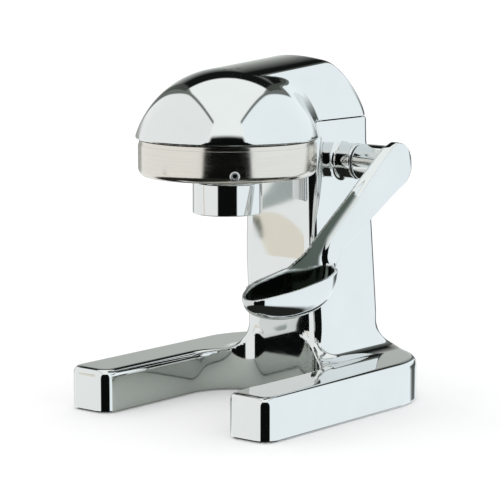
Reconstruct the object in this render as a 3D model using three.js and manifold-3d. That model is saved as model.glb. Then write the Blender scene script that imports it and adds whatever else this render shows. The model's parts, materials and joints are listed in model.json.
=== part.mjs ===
// Lever-operated citrus press, millimetres, +Z up, the user in front (-Y), the lever on the right (+X).
// While the pieces are made, x = 0 is the foot's centre plane, y = 0 its front and z = 0 the table.
// The finished group is moved so that its origin is the middle of its whole underside.
import * as THREE from 'three';
import { mergeVertices } from 'three/addons/utils/BufferGeometryUtils.js';
import Module from 'manifold-3d';

const wasm = await Module();
wasm.setup();

// ---------------------------------------------------------------- driving dimensions
const GAP = 0.3;              // air between neighbouring pieces
const WALL = 4;               // cast wall

const FOOT_WIDTH = 192;
const FOOT_DEPTH = 216;
const FOOT_TOP = 34.4;
const FOOT_BOTTOM = 2;
const ARM_WIDTH = 33.4;
const SLOT_END = 132;         // back of the space between the arms
const SLOT_RADIUS = 29;
const BACK_RADIUS = 61;
const FRONT_RADIUS = 5;
const TOP_EDGE = 3.5;

const COLUMN_TOP = 212;
const COLUMN_HALF = 34;       // half width at the top
const COLUMN_HALF_LOW = 37.5;
const COLUMN_FRONT = 127.5;
const COLUMN_FRONT_LOW = 131.5;
const COLUMN_BACK = 199.5;
const COLUMN_BACK_LOW = 210.5;
const COLUMN_CORNER = 9;
const FLARE = 26;             // fillet between column and foot

const PIVOT_Y = 162;
const PIVOT_Z = 181;
const SHAFT_RADIUS = 6;
const RUNNING_FIT = 0.1;
const BUSH_RADIUS = 9;
const BOSS_RADIUS = 13.5;
const BOSS_END = 51;

const TEETH = 18;
const MODULE_SIZE = 2;
const PITCH_RADIUS = TEETH * MODULE_SIZE / 2;
const GEAR_HALF = 7;

const BOWL_Y = 68.3;          // axis of dome, bowl, cone and spout
const RING_RADIUS = 65.4;
const RING_TOP = 202.6;
const RING_BOTTOM = 176.8;
const RING_EDGE = 6;
const RING_BORE = 56.9;
const RING_THROAT = 51.6;
const RING_LEDGE = 180;       // inner step that carries the funnel
const FUNNEL_TOP = 187;
const STRAINER_FLOOR = 189;
const SPOUT_RADIUS = 25.6;
const SPOUT_WALL = 1.8;
const SPOUT_BOTTOM = 147.5;

const DOME_RADIUS = 70.5;
const DOME_CENTRE_Z = 183.5;
const DOME_RIM = 203.3;
const DOME_SHELL = 3;
const LIP_TOP = 207;          // the sphere starts here, above the rolled lip
const SPINE_RISE = 4.45;      // the spine's crowned top climbs from the dome by this angle
const SPINE_BACK_ARC = 99;    // and falls to the back in this arc
const SPINE_BACK_CENTRE = [112, 166];

const LEVER_HUB_END = 80;
const LEVER_ARM_THICK = 8;
const LEVER_END_RADIUS = 16;
const SCOOP_CENTRE = [88, 32, 100];
const SCOOP_SIZE = [20, 52, 17.5];
const SCOOP_WALL = 3;
const RIM_RISE = 8;           // the scoop's rim lies this far above its centre
const RIM_SLOPE = 8;          // and rises backwards by this angle

const ORIGIN = [6, 98, 0];    // middle of the finished press's underside

// ---------------------------------------------------------------- materials
function finish(color, roughness, metalness) {
  return new THREE.MeshStandardMaterial({ color, roughness, metalness });
}
const chrome = finish(0xd6dadb, 0.06, 1);
const satin = finish(0xb9b1a2, 0.35, 1);
const steel = finish(0xa8a9aa, 0.4, 1);
const stainless = finish(0xc4c6c8, 0.25, 1);
const aluminium = finish(0xb9bcc0, 0.38, 1);
const bronze = finish(0x9a7440, 0.45, 1);
const rubber = finish(0x1b1b1c, 0.85, 0);
const nylon = finish(0x202122, 0.6, 0);

// ---------------------------------------------------------------- solids
const root = new THREE.Group();

// A closed geometry as a manifold solid; a profile drawn the other way round is turned inside out first.
function solid(geometry) {
  const bare = geometry.clone();
  bare.deleteAttribute('normal');
  bare.deleteAttribute('uv');
  const merged = mergeVertices(bare, 1e-4);
  const triVerts = new Uint32Array(merged.index.array);
  const vertProperties = new Float32Array(merged.attributes.position.array);
  const made = new wasm.Manifold(new wasm.Mesh({ numProp: 3, vertProperties, triVerts }));
  if (made.volume() > 0) return made;
  for (let i = 0; i < triVerts.length; i += 3) {
    [triVerts[i + 1], triVerts[i + 2]] = [triVerts[i + 2], triVerts[i + 1]];
  }
  return new wasm.Manifold(new wasm.Mesh({ numProp: 3, vertProperties, triVerts }));
}

function cut(body, ...tools) {
  return tools.reduce((left, tool) => left.subtract(tool), body);
}

function join(body, ...others) {
  return others.reduce((sum, other) => sum.add(other), body);
}

function place(name, body, material) {
  const { vertProperties, triVerts } = body.getMesh();
  const geometry = new THREE.BufferGeometry();
  geometry.setAttribute('position', new THREE.BufferAttribute(vertProperties, 3));
  geometry.setIndex(new THREE.BufferAttribute(triVerts, 1));
  geometry.computeVertexNormals();
  const mesh = new THREE.Mesh(geometry, material);
  mesh.name = name;
  root.add(mesh);
}

function block([x0, x1], [y0, y1], [z0, z1]) {
  const geometry = new THREE.BoxGeometry(x1 - x0, y1 - y0, z1 - z0);
  return solid(geometry.translate((x0 + x1) / 2, (y0 + y1) / 2, (z0 + z1) / 2));
}

// Round bars along each axis, from a to b on that axis, through the point given by the other two.
function barX(radius, a, b, y, z, segments = 24) {
  const geometry = new THREE.CylinderGeometry(radius, radius, b - a, segments).rotateZ(Math.PI / 2);
  return solid(geometry.translate((a + b) / 2, y, z));
}
function barY(radius, a, b, x, z, segments = 16) {
  const geometry = new THREE.CylinderGeometry(radius, radius, b - a, segments);
  return solid(geometry.translate(x, (a + b) / 2, z));
}
function barZ(radius, a, b, x, y, segments = 16) {
  const geometry = new THREE.CylinderGeometry(radius, radius, b - a, segments).rotateX(Math.PI / 2);
  return solid(geometry.translate(x, y, (a + b) / 2));
}

// A profile of [radius, z] points turned about the bowl's vertical axis.
function turned(profile, segments = 40) {
  const points = profile.map(([r, z]) => new THREE.Vector2(r, z));
  points.push(points[0].clone());
  const geometry = new THREE.LatheGeometry(points, segments).rotateX(Math.PI / 2);
  return solid(geometry.translate(0, BOWL_Y, 0));
}

function arc(centreA, centreB, radius, from, to, steps) {
  return Array.from({ length: steps + 1 }, (_, i) => {
    const angle = THREE.MathUtils.degToRad(from + (to - from) * i / steps);
    return [centreA + radius * Math.cos(angle), centreB + radius * Math.sin(angle)];
  });
}

// A closed outline through [x, y, radius] corners, each rounded to its own radius.
function rounded(corners, steps = 5) {
  const points = [];
  corners.forEach(([x, y, radius], i) => {
    const at = new THREE.Vector2(x, y);
    const before = new THREE.Vector2(...corners.at(i - 1)).sub(at).normalize();
    const after = new THREE.Vector2(...corners[(i + 1) % corners.length]).sub(at).normalize();
    const half = before.angleTo(after) / 2;
    const reach = radius / Math.tan(half);
    const start = at.clone().addScaledVector(before, reach);
    const end = at.clone().addScaledVector(after, reach);
    const middle = before.clone().add(after).normalize();
    const centre = at.clone().addScaledVector(middle, radius / Math.sin(half));
    const from = start.clone().sub(centre).angle();
    let sweep = end.clone().sub(centre).angle() - from;
    if (sweep > Math.PI) sweep -= 2 * Math.PI;
    if (sweep < -Math.PI) sweep += 2 * Math.PI;
    for (let k = 0; k <= steps; k += 1) {
      const angle = from + sweep * k / steps;
      points.push(new THREE.Vector2(Math.cos(angle), Math.sin(angle)).multiplyScalar(radius).add(centre));
    }
  });
  return new THREE.Shape(points);
}

// An outline in x and y, raised from one height to another.
function raised(shape, z0, z1, steps = 1) {
  const geometry = new THREE.ExtrudeGeometry(shape, { depth: z1 - z0, bevelEnabled: false, steps });
  return geometry.translate(0, 0, z0);
}

// An outline in y and z, drawn out from x0 to x1, with its edges rounded by bevel.
function drawnOut(shape, x0, x1, bevel = 0, bevelSegments = 2) {
  const options = {
    depth: x1 - x0 - 2 * bevel,
    bevelEnabled: bevel > 0,
    bevelThickness: bevel,
    bevelSize: bevel,
    bevelOffset: -bevel,
    bevelSegments,
  };
  const turn = new THREE.Matrix4().makeBasis(
    new THREE.Vector3(0, 1, 0),
    new THREE.Vector3(0, 0, 1),
    new THREE.Vector3(1, 0, 0),
  );
  const geometry = new THREE.ExtrudeGeometry(shape, options).applyMatrix4(turn);
  return solid(geometry.translate(x0 + bevel, 0, 0));
}

function warped(geometry, move) {
  const position = geometry.getAttribute('position');
  const point = new THREE.Vector3();
  for (let i = 0; i < position.count; i += 1) {
    point.fromBufferAttribute(position, i);
    move(point);
    position.setXYZ(i, point.x, point.y, point.z);
  }
  return geometry;
}

// A screw with a round head and a plain shank, pointing along +Z from its head's seat at the origin.
function screw(headRadius, headHeight, shankRadius, length) {
  const head = new THREE.CylinderGeometry(headRadius, headRadius, headHeight, 16).rotateX(Math.PI / 2);
  const shank = new THREE.CylinderGeometry(shankRadius, shankRadius, length + 1, 12).rotateX(Math.PI / 2);
  return solid(head.translate(0, 0, -headHeight / 2)).add(solid(shank.translate(0, 0, (length - 1) / 2)));
}

// ---------------------------------------------------------------- body casting: foot and column
function footOutline(inset) {
  const outer = FOOT_WIDTH / 2 - inset;
  const inner = FOOT_WIDTH / 2 - ARM_WIDTH + inset;
  const nose = Math.max(FRONT_RADIUS - inset, 1);
  return rounded([
    [-outer, inset, nose],
    [-inner, inset, nose],
    [-inner, SLOT_END + inset, SLOT_RADIUS + inset],
    [inner, SLOT_END + inset, SLOT_RADIUS + inset],
    [inner, inset, nose],
    [outer, inset, nose],
    [outer, FOOT_DEPTH - inset, BACK_RADIUS - inset],
    [-outer, FOOT_DEPTH - inset, BACK_RADIUS - inset],
  ]);
}

// Half width, front and back of the column at a height: drafted, and flared where it meets the foot.
function columnSection(z) {
  const rise = THREE.MathUtils.clamp((z - 60) / (COLUMN_TOP - 60), 0, 1);
  const frontRise = THREE.MathUtils.clamp((z - 60) / 50, 0, 1);
  const low = Math.max(FOOT_TOP + FLARE - z, 0);
  const flare = FLARE - Math.sqrt(Math.max(FLARE ** 2 - low ** 2, 0));
  return {
    half: THREE.MathUtils.lerp(COLUMN_HALF_LOW, COLUMN_HALF, rise) + flare,
    front: THREE.MathUtils.lerp(COLUMN_FRONT_LOW, COLUMN_FRONT, frontRise),
    back: THREE.MathUtils.lerp(COLUMN_BACK_LOW, COLUMN_BACK, rise) + Math.min(flare, 5),
  };
}

function columnSolid(inset, z0, z1) {
  const corner = COLUMN_CORNER - inset / 2;
  const outline = rounded([[-50, -50, corner], [50, -50, corner], [50, 50, corner], [-50, 50, corner]], 4);
  const geometry = raised(outline, z0, z1, inset > 0 ? 3 : 12);
  return solid(warped(geometry, (p) => {
    const { half, front, back } = columnSection(p.z);
    const middle = (front + back) / 2;
    const depth = (back - front) / 2;
    p.x = Math.sign(p.x) * (half - inset - (50 - Math.abs(p.x)));
    p.y = middle + Math.sign(p.y) * (depth - inset - (50 - Math.abs(p.y)));
  }));
}

const BELOW = -20;
const footShell = new THREE.ExtrudeGeometry(footOutline(0), {
  depth: FOOT_TOP - TOP_EDGE - BELOW,
  bevelThickness: TOP_EDGE,
  bevelSize: TOP_EDGE,
  bevelOffset: -TOP_EDGE,
  bevelSegments: 2,
}).translate(0, 0, BELOW);
const belowFoot = block([-200, 200], [-100, 300], [BELOW - 10, FOOT_BOTTOM]);
const footHollow = solid(raised(footOutline(WALL), BELOW, FOOT_TOP - WALL));
const columnHollow = columnSolid(WALL, FOOT_TOP - WALL - 6, COLUMN_TOP - WALL);

// Screw posts for the rubber feet, one in each end of the foot.
const FEET = {
  front_left: [-79.3, 17],
  front_right: [79.3, 17],
  rear_left: [-62, 186],
  rear_right: [62, 186],
};
const POST_BOTTOM = 6;
const footPosts = Object.values(FEET).map(([x, y]) => barZ(6, POST_BOTTOM, FOOT_TOP - 2, x, y));
const footPostHoles = Object.values(FEET).map(([x, y]) => barZ(2.1, POST_BOTTOM - 1, 24, x, y, 12));

const bossOuter = barX(BOSS_RADIUS, COLUMN_HALF - 8, BOSS_END, PIVOT_Y, PIVOT_Z, 32);
const bossLeft = barX(BUSH_RADIUS + 3, -COLUMN_HALF, -21, PIVOT_Y, PIVOT_Z, 32);
const bushHoleRight = barX(BUSH_RADIUS + RUNNING_FIT, 20, BOSS_END + 5, PIVOT_Y, PIVOT_Z, 32);
const bushHoleLeft = barX(BUSH_RADIUS + RUNNING_FIT, -COLUMN_HALF + 2.5, -15, PIVOT_Y, PIVOT_Z, 32);

const POST_HALF = 8;           // rack post, half its width
const RACK_PITCH_Y = PIVOT_Y - PITCH_RADIUS;
const RACK_TIP_Y = RACK_PITCH_Y + MODULE_SIZE;
const RACK_ROOT_Y = RACK_PITCH_Y - 1.25 * MODULE_SIZE;
const RACK_BACK_Y = 134.6;
const GUIDE_HALF = 14;
const guideHole = block([-GUIDE_HALF - GAP, GUIDE_HALF + GAP], [132, 150], [COLUMN_TOP - 12, COLUMN_TOP + 5]);
const GUIDE_SCREW_X = 19;
const HOLDER_SCREW = { x: 19.5, z: 190 };
const GUIDE_LOW = { z0: 130, z1: 142, screwX: 21 };
const sides = [['left', -1], ['right', 1]];

const guideScrewHoles = sides.map(([, side]) => (
  barZ(1.6, COLUMN_TOP - 8, COLUMN_TOP + 3, side * GUIDE_SCREW_X, 141, 12)
));
const holderScrewHoles = sides.map(([, side]) => (
  barY(2.4, 120, 140, side * HOLDER_SCREW.x, HOLDER_SCREW.z, 12)
));
const lowGuideBosses = sides.map(([, side]) => (
  barY(5, COLUMN_FRONT + 2, 136, side * GUIDE_LOW.screwX, (GUIDE_LOW.z0 + GUIDE_LOW.z1) / 2)
));
const lowGuideHoles = sides.map(([, side]) => (
  barY(1.9, COLUMN_FRONT + 3, 140, side * GUIDE_LOW.screwX, (GUIDE_LOW.z0 + GUIDE_LOW.z1) / 2, 12)
));

const slotCutter = solid(raised(rounded([
  [-FOOT_WIDTH / 2 + ARM_WIDTH, -80, 5],
  [FOOT_WIDTH / 2 - ARM_WIDTH, -80, 5],
  [FOOT_WIDTH / 2 - ARM_WIDTH, SLOT_END, SLOT_RADIUS],
  [-FOOT_WIDTH / 2 + ARM_WIDTH, SLOT_END, SLOT_RADIUS],
]), BELOW - 20, FOOT_TOP - TOP_EDGE));

let body = solid(footShell).add(columnSolid(0, FOOT_TOP - TOP_EDGE - 1, COLUMN_TOP));
body = cut(body, slotCutter, belowFoot, footHollow, columnHollow);
body = join(body, bossOuter, bossLeft, ...footPosts, ...lowGuideBosses);
body = cut(body, bushHoleRight, bushHoleLeft, guideHole, ...footPostHoles);
body = cut(body, ...guideScrewHoles, ...holderScrewHoles, ...lowGuideHoles);
place('body_casting', body, chrome);

// ---------------------------------------------------------------- underside
const COVER = { z0: 4, z1: 5.6 };
const coverHoles = Object.values(FEET).map(([x, y]) => barZ(2.4, 0, 10, x, y, 12));
place('bottom_cover', cut(solid(raised(footOutline(WALL + GAP), COVER.z0, COVER.z1)), ...coverHoles), steel);
for (const [corner, [x, y]] of Object.entries(FEET)) {
  const foot = barZ(8, 0, COVER.z0 - GAP, x, y, 24);
  const recess = barZ(4.5, -1, 2, x, y);
  place(`foot_${corner}`, cut(foot, recess, barZ(2.4, 0, 5, x, y, 12)), rubber);
  place(`foot_screw_${corner}`, screw(4, 1.2, 1.9, 17).translate([x, y, 1.8]), steel);
}

// ---------------------------------------------------------------- bowl holder, funnel, strainer, cone
const holderRing = turned([
  [RING_BORE, RING_TOP],
  [RING_RADIUS, RING_TOP],
  ...arc(RING_RADIUS - RING_EDGE, RING_BOTTOM + RING_EDGE, RING_EDGE, 0, -90, 4),
  [RING_THROAT, RING_BOTTOM],
  [RING_THROAT, RING_LEDGE],
  [RING_BORE, RING_LEDGE],
], 48);
const holderPad = block([-28, 28], [BOWL_Y + 50, COLUMN_FRONT - GAP], [RING_BOTTOM + 2, RING_TOP - 2]);
const holderBore = barZ(RING_BORE, RING_LEDGE, RING_TOP + 5, 0, BOWL_Y, 48);
const holderThroat = barZ(RING_THROAT, RING_BOTTOM - 5, RING_LEDGE + 1, 0, BOWL_Y, 48);
const columnSpace = block([-60, 60], [COLUMN_FRONT - GAP, 160], [RING_BOTTOM - 5, RING_TOP + 5]);
const FUNNEL_SCREW = { z: 182.9, turn: 44.5, seat: 64.2 };
function besideScrew(piece) {
  return piece.rotate([0, 0, FUNNEL_SCREW.turn]).translate([0, BOWL_Y, FUNNEL_SCREW.z]);
}
const funnelScrewHole = besideScrew(join(
  barY(1.9, -70, -55, 0, 0, 12),
  barY(2.9, -70, -FUNNEL_SCREW.seat, 0, 0),
));
const padScrewHoles = sides.map(([, side]) => (
  barY(2.1, COLUMN_FRONT - 8, COLUMN_FRONT + 3, side * HOLDER_SCREW.x, HOLDER_SCREW.z, 12)
));
const holder = cut(join(holderRing, holderPad), holderBore, holderThroat, columnSpace, funnelScrewHole);
place('bowl_holder', cut(holder, ...padScrewHoles), satin);

for (const [name, side] of sides) {
  const turnedScrew = screw(3.6, 2.6, 1.9, 8.8).rotate([90, 0, 0]);
  const seat = COLUMN_FRONT + WALL + 0.2;
  place(`holder_screw_${name}`, turnedScrew.translate([side * HOLDER_SCREW.x, seat, HOLDER_SCREW.z]), steel);
}
const funnelScrew = screw(2.6, 1.6, 1.6, 10).rotate([-90, 0, 0]).translate([0, -FUNNEL_SCREW.seat - 0.1, 0]);
place('funnel_screw', besideScrew(funnelScrew), steel);

const FUNNEL_RIM = RING_BORE - GAP;
const FUNNEL_SKIRT = RING_THROAT - GAP;
const funnel = turned([
  [FUNNEL_RIM, RING_LEDGE + GAP],
  [FUNNEL_RIM, FUNNEL_TOP],
  [FUNNEL_SKIRT - 2, FUNNEL_TOP],
  [FUNNEL_SKIRT - 2, 179],
  [SPOUT_RADIUS - SPOUT_WALL, 173],
  [SPOUT_RADIUS - SPOUT_WALL, SPOUT_BOTTOM],
  [SPOUT_RADIUS - 0.6, SPOUT_BOTTOM],
  [SPOUT_RADIUS, SPOUT_BOTTOM + 0.8],
  [SPOUT_RADIUS, 171],
  [FUNNEL_SKIRT, 177],
  [FUNNEL_SKIRT, RING_LEDGE + GAP],
]);
place('juice_funnel', cut(funnel, besideScrew(barY(1.9, -62, -46, 0, 0, 12))), stainless);

const SLOTS = 16;
const strainerSlots = Array.from({ length: SLOTS }, (_, i) => {
  const slot = new THREE.BoxGeometry(11, 3, 8).translate(45, 0, STRAINER_FLOOR);
  return solid(slot.rotateZ(2 * Math.PI * i / SLOTS).translate(0, BOWL_Y, 0));
});
place('strainer', cut(turned([
  [0, STRAINER_FLOOR - 1.5],
  [FUNNEL_RIM, STRAINER_FLOOR - 1.5],
  [FUNNEL_RIM, RING_TOP - 2],
  [FUNNEL_RIM - 1.4, RING_TOP - 2],
  [FUNNEL_RIM - 1.4, STRAINER_FLOOR],
  [0, STRAINER_FLOOR],
], 40), ...strainerSlots), stainless);

const RIDGES = 8;
const CONE = { z0: STRAINER_FLOOR + GAP, base: 36, apex: 224 };
const coneProfile = [[0, CONE.z0], [CONE.base, CONE.z0], [CONE.base, CONE.z0 + 3]];
for (let i = 1; i <= 7; i += 1) {
  const turn = Math.PI / 2 * i / 7;
  const radius = (CONE.base - 3) * Math.cos(turn) ** 0.9;
  coneProfile.push([Math.max(radius, 0), CONE.z0 + 3 + (CONE.apex - CONE.z0 - 3) * Math.sin(turn)]);
}
const conePoints = coneProfile.map(([r, z]) => new THREE.Vector2(r, z));
const coneGeometry = new THREE.LatheGeometry(conePoints, RIDGES * 6).rotateX(Math.PI / 2);
place('reamer_cone', solid(warped(coneGeometry, (p) => {
  const above = THREE.MathUtils.clamp((p.z - CONE.z0 - 3) / 4, 0, 1);
  const ridge = 1 - 0.13 * above * (1 - Math.abs(Math.cos(Math.atan2(p.y, p.x) * RIDGES / 2)));
  p.x *= ridge;
  p.y *= ridge;
}).translate(0, BOWL_Y, 0)), stainless);

// ---------------------------------------------------------------- head, press cup
// The spine: the dome's own section carried backwards, kept inside flat sides, a flat back and a back arc.
function spine(inset, floor, edge) {
  const [centreY, centreZ] = SPINE_BACK_CENTRE;
  const back = COLUMN_BACK - inset;
  const radius = SPINE_BACK_ARC - inset;
  const reach = THREE.MathUtils.radToDeg(Math.acos((back - centreY) / radius));
  const backArc = arc(centreY, centreZ, radius, reach, 90, 8);
  const outline = [[BOWL_Y, floor], [back, floor], ...backArc, [BOWL_Y, centreZ + radius]];
  const profile = new THREE.Shape(outline.map(([y, z]) => new THREE.Vector2(y, z)));
  const crown = barY(DOME_RADIUS - inset, -20, 190, 0, 0, 56).rotate([SPINE_RISE, 0, 0]);
  const trimmed = drawnOut(profile, -COLUMN_HALF + inset, COLUMN_HALF - inset, edge, 2);
  return trimmed.intersect(crown.translate([0, BOWL_Y, DOME_CENTRE_Z]));
}

// Half of the dome's section: a short rolled lip at the rim, then the sphere up to the crown.
function domeProfile(radius, lip, steps) {
  const start = THREE.MathUtils.radToDeg(Math.asin((LIP_TOP - DOME_CENTRE_Z) / radius));
  const points = [[0, lip[0][1]], ...lip, ...arc(0, DOME_CENTRE_Z, radius, start, 90, steps)];
  points.at(-1)[0] = 0;
  return points;
}
const HEAD_FLOOR = COLUMN_TOP + GAP;
const headFloorCut = block([-120, 120], [0, 260], [HEAD_FLOOR - 60, HEAD_FLOOR]);
const innerFloorCut = block([-120, 120], [0, 260], [100, HEAD_FLOOR - 5]);
const columnClear = block([-60, 60], [COLUMN_FRONT - GAP, 260], [190, HEAD_FLOOR]);
const headOuter = join(
  turned(domeProfile(DOME_RADIUS, [[63.6, DOME_RIM], [65.6, DOME_RIM + 1.2]], 9), 48),
  cut(spine(0, HEAD_FLOOR - 15, 8), headFloorCut),
);
const innerRadius = DOME_RADIUS - DOME_SHELL;
const headInner = join(
  turned(domeProfile(innerRadius, [[63.2, DOME_RIM - 5]], 7), 36),
  cut(spine(DOME_SHELL, HEAD_FLOOR - 15, 5), innerFloorCut),
);
const SOCKET = { z0: 226, z1: 250, front: 131.5, back: 149.5 };
const socketBoss = block([-13, 13], [SOCKET.front, SOCKET.back], [SOCKET.z0 - 2, 256]);
const socketHole = block(
  [-POST_HALF - 0.1, POST_HALF + 0.1],
  [RACK_BACK_Y - 0.1, RACK_TIP_Y + 0.2],
  [SOCKET.z0 - 10, SOCKET.z1],
);
const CUP_NECK = 245.7;
const cupBoss = barZ(9, CUP_NECK + GAP, 252.5, 0, BOWL_Y, 24);
const cupScrewHole = barZ(2.5, CUP_NECK - 5, 250.5, 0, BOWL_Y, 12);
const POST_SCREWS = [['lower', 232], ['upper', 243]];
const socketScrewHoles = POST_SCREWS.map(([, z]) => barY(2.2, SOCKET.front - 5, SOCKET.front + 8, 0, z, 12));
let head = join(cut(headOuter, headInner, columnClear), socketBoss, cupBoss);
head = cut(head, socketHole, cupScrewHole, ...socketScrewHoles);
place('press_head', head, chrome);

const CUP = { rim: 207, top: 242, radius: 43, wall: 3 };
// Half of a cup's section from its rim to its crown, never nearer to the axis than the screw hole.
function cupCurve(radius, height, from, to) {
  return arc(0, 0, 1, from, to, 8).map(([c, s]) => [Math.max(radius * c, 2.6), CUP.rim + height * s]);
}
const cupInside = cupCurve(CUP.radius - CUP.wall, CUP.top - CUP.wall - CUP.rim, 90, 0);
const cupOutside = cupCurve(CUP.radius, CUP.top - CUP.rim, 0, 78);
place('press_cup', turned([...cupInside, ...cupOutside, [9, CUP_NECK], [2.6, CUP_NECK]], 32), aluminium);
place('cup_screw', screw(5, 2.2, 2.3, 11).translate([0, BOWL_Y, CUP.top - CUP.wall - 0.5]), steel);

// ---------------------------------------------------------------- rack, guides, gear
const TOOTH_PITCH = Math.PI * MODULE_SIZE;
const RACK = { bottom: 85, top: SOCKET.z1 - 0.5, teethBelow: 10, teethAbove: 2 };
const rackOutline = [[RACK_BACK_Y, RACK.bottom], [RACK_ROOT_Y, RACK.bottom]];
for (let i = -RACK.teethBelow; i <= RACK.teethAbove; i += 1) {
  const z = PIVOT_Z + (i + 0.5) * TOOTH_PITCH;
  const rootHalf = TOOTH_PITCH * 0.36;
  const tip = TOOTH_PITCH * 0.11;
  rackOutline.push([RACK_ROOT_Y, z - rootHalf], [RACK_TIP_Y, z - tip]);
  rackOutline.push([RACK_TIP_Y, z + tip], [RACK_ROOT_Y, z + rootHalf]);
}
rackOutline.push([RACK_ROOT_Y, RACK.top], [RACK_BACK_Y, RACK.top]);
const rackShape = new THREE.Shape(rackOutline.map(([y, z]) => new THREE.Vector2(y, z)));
const rackScrewHoles = POST_SCREWS.map(([, z]) => barY(1.9, RACK_BACK_Y - 2, RACK_ROOT_Y - 1, 0, z, 12));
place('rack_post', cut(drawnOut(rackShape, -POST_HALF, POST_HALF), ...rackScrewHoles), steel);
for (const [name, z] of POST_SCREWS) {
  const seat = SOCKET.front - 0.1;
  place(`post_screw_${name}`, screw(3.6, 2.6, 1.7, 7.4).rotate([-90, 0, 0]).translate([0, seat, z]), steel);
}

const rackSlot = block(
  [-POST_HALF - GAP, POST_HALF + GAP],
  [RACK_BACK_Y - GAP, RACK_TIP_Y + GAP],
  [100, 240],
);
const guideUpper = join(
  block([-GUIDE_HALF, GUIDE_HALF], [132.3, 149.7], [COLUMN_TOP - 8, COLUMN_TOP + 4]),
  block([-25, 25], [130.5, 151.5], [COLUMN_TOP + 0.2, COLUMN_TOP + 4.2]),
);
const guideUpperHoles = sides.map(([, side]) => barZ(2, 205, 220, side * GUIDE_SCREW_X, 141, 12));
place('guide_upper', cut(guideUpper, rackSlot, ...guideUpperHoles), bronze);
const lowZ = [GUIDE_LOW.z0, GUIDE_LOW.z1];
const guideLower = join(
  block([-GUIDE_HALF, GUIDE_HALF], [132.6, 150], lowZ),
  block([-26, 26], [136.2, 140.2], lowZ),
);
const guideLowerHoles = sides.map(([, side]) => (
  barY(2, 130, 145, side * GUIDE_LOW.screwX, (GUIDE_LOW.z0 + GUIDE_LOW.z1) / 2, 12)
));
place('guide_lower', cut(guideLower, rackSlot, ...guideLowerHoles), bronze);
for (const [name, side] of sides) {
  const upper = screw(3.6, 2.2, 1.5, 7).rotate([180, 0, 0]);
  place(`guide_screw_upper_${name}`, upper.translate([side * GUIDE_SCREW_X, 141, COLUMN_TOP + 4.4]), steel);
  const lower = screw(3.6, 2.2, 1.7, 9).rotate([90, 0, 0]);
  const height = (GUIDE_LOW.z0 + GUIDE_LOW.z1) / 2;
  place(`guide_screw_lower_${name}`, lower.translate([side * GUIDE_LOW.screwX, 140.4, height]), steel);
}

const pinionPoints = [];
for (let i = 0; i < TEETH; i += 1) {
  const middle = Math.PI + 2 * Math.PI * i / TEETH;
  const rootRadius = PITCH_RADIUS - 1.25 * MODULE_SIZE;
  const tipRadius = PITCH_RADIUS + 0.9 * MODULE_SIZE;
  for (const [radius, offset] of [[rootRadius, -0.38], [PITCH_RADIUS, -0.21], [tipRadius, -0.09],
    [tipRadius, 0.09], [PITCH_RADIUS, 0.21], [rootRadius, 0.38]]) {
    const angle = middle + offset * 2 * Math.PI / TEETH;
    const point = new THREE.Vector2(Math.cos(angle), Math.sin(angle)).multiplyScalar(radius);
    pinionPoints.push(point.add(new THREE.Vector2(PIVOT_Y, PIVOT_Z)));
  }
}
const PIN = { x: 11.5, radius: 1.6, reach: 9.4 };
const shaftBore = barX(SHAFT_RADIUS + RUNNING_FIT, -20, 30, PIVOT_Y, PIVOT_Z);
const pinHole = barZ(PIN.radius + RUNNING_FIT, PIVOT_Z - 15, PIVOT_Z + 15, PIN.x, PIVOT_Y, 12);
const pinionHub = barX(10, GEAR_HALF - 1, GEAR_HALF + 9, PIVOT_Y, PIVOT_Z);
const gear = join(drawnOut(new THREE.Shape(pinionPoints), -GEAR_HALF, GEAR_HALF), pinionHub);
place('pinion', cut(gear, shaftBore, pinHole), steel);
place('pinion_pin', barZ(PIN.radius, PIVOT_Z - PIN.reach, PIVOT_Z + PIN.reach, PIN.x, PIVOT_Y, 12), steel);

// ---------------------------------------------------------------- shaft, bushes, ring, washer
const SET_SCREW_X = 64;
const setScrewFlat = block([SET_SCREW_X - 5, SET_SCREW_X + 5], [PIVOT_Y - 9, PIVOT_Y + 9],
  [PIVOT_Z - 9, PIVOT_Z - SHAFT_RADIUS + 0.8]);
const shaft = barX(SHAFT_RADIUS, -30.5, 76, PIVOT_Y, PIVOT_Z);
place('lever_shaft', cut(shaft, pinHole, setScrewFlat), steel);
function sleeve(outer, inner, x0, x1, segments = 32) {
  return cut(barX(outer, x0, x1, PIVOT_Y, PIVOT_Z, segments), barX(inner, x0 - 1, x1 + 1, PIVOT_Y, PIVOT_Z));
}
place('bush_left', sleeve(BUSH_RADIUS, SHAFT_RADIUS + RUNNING_FIT, -31, -20), bronze);
place('bush_right', sleeve(BUSH_RADIUS, SHAFT_RADIUS + RUNNING_FIT, 24, BOSS_END - 0.5), bronze);
place('retaining_ring', sleeve(8.6, SHAFT_RADIUS + 0.15, -19.4, -18.2), steel);
place('lever_washer', sleeve(BOSS_RADIUS - 0.7, SHAFT_RADIUS + 0.2, BOSS_END + 0.2, BOSS_END + 1.2), nylon);

// ---------------------------------------------------------------- lever
const HUB_START = BOSS_END + 1.4;
const ARM_X = [LEVER_HUB_END - 1, LEVER_HUB_END + LEVER_ARM_THICK];
const leverHub = barX(BOSS_RADIUS, HUB_START, LEVER_HUB_END, PIVOT_Y, PIVOT_Z, 32);
const leverBore = barX(SHAFT_RADIUS + RUNNING_FIT, HUB_START - 2, 77, PIVOT_Y, PIVOT_Z);
const setScrewHole = barZ(2.8, PIVOT_Z - 16, PIVOT_Z - 4, SET_SCREW_X, PIVOT_Y, 12);
const armOutline = [
  ...arc(PIVOT_Y, PIVOT_Z, LEVER_END_RADIUS, -62, 130, 10),
  [108, 157.3],
  [76, 134],
  [60, 120],
  [54, 110],
  [74, 102],
  [84, 112],
  [95, 125.5],
  [130, 144.5],
];
const arm = drawnOut(new THREE.Shape(armOutline.map(([y, z]) => new THREE.Vector2(y, z))), ...ARM_X, 1.6, 1);

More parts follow.
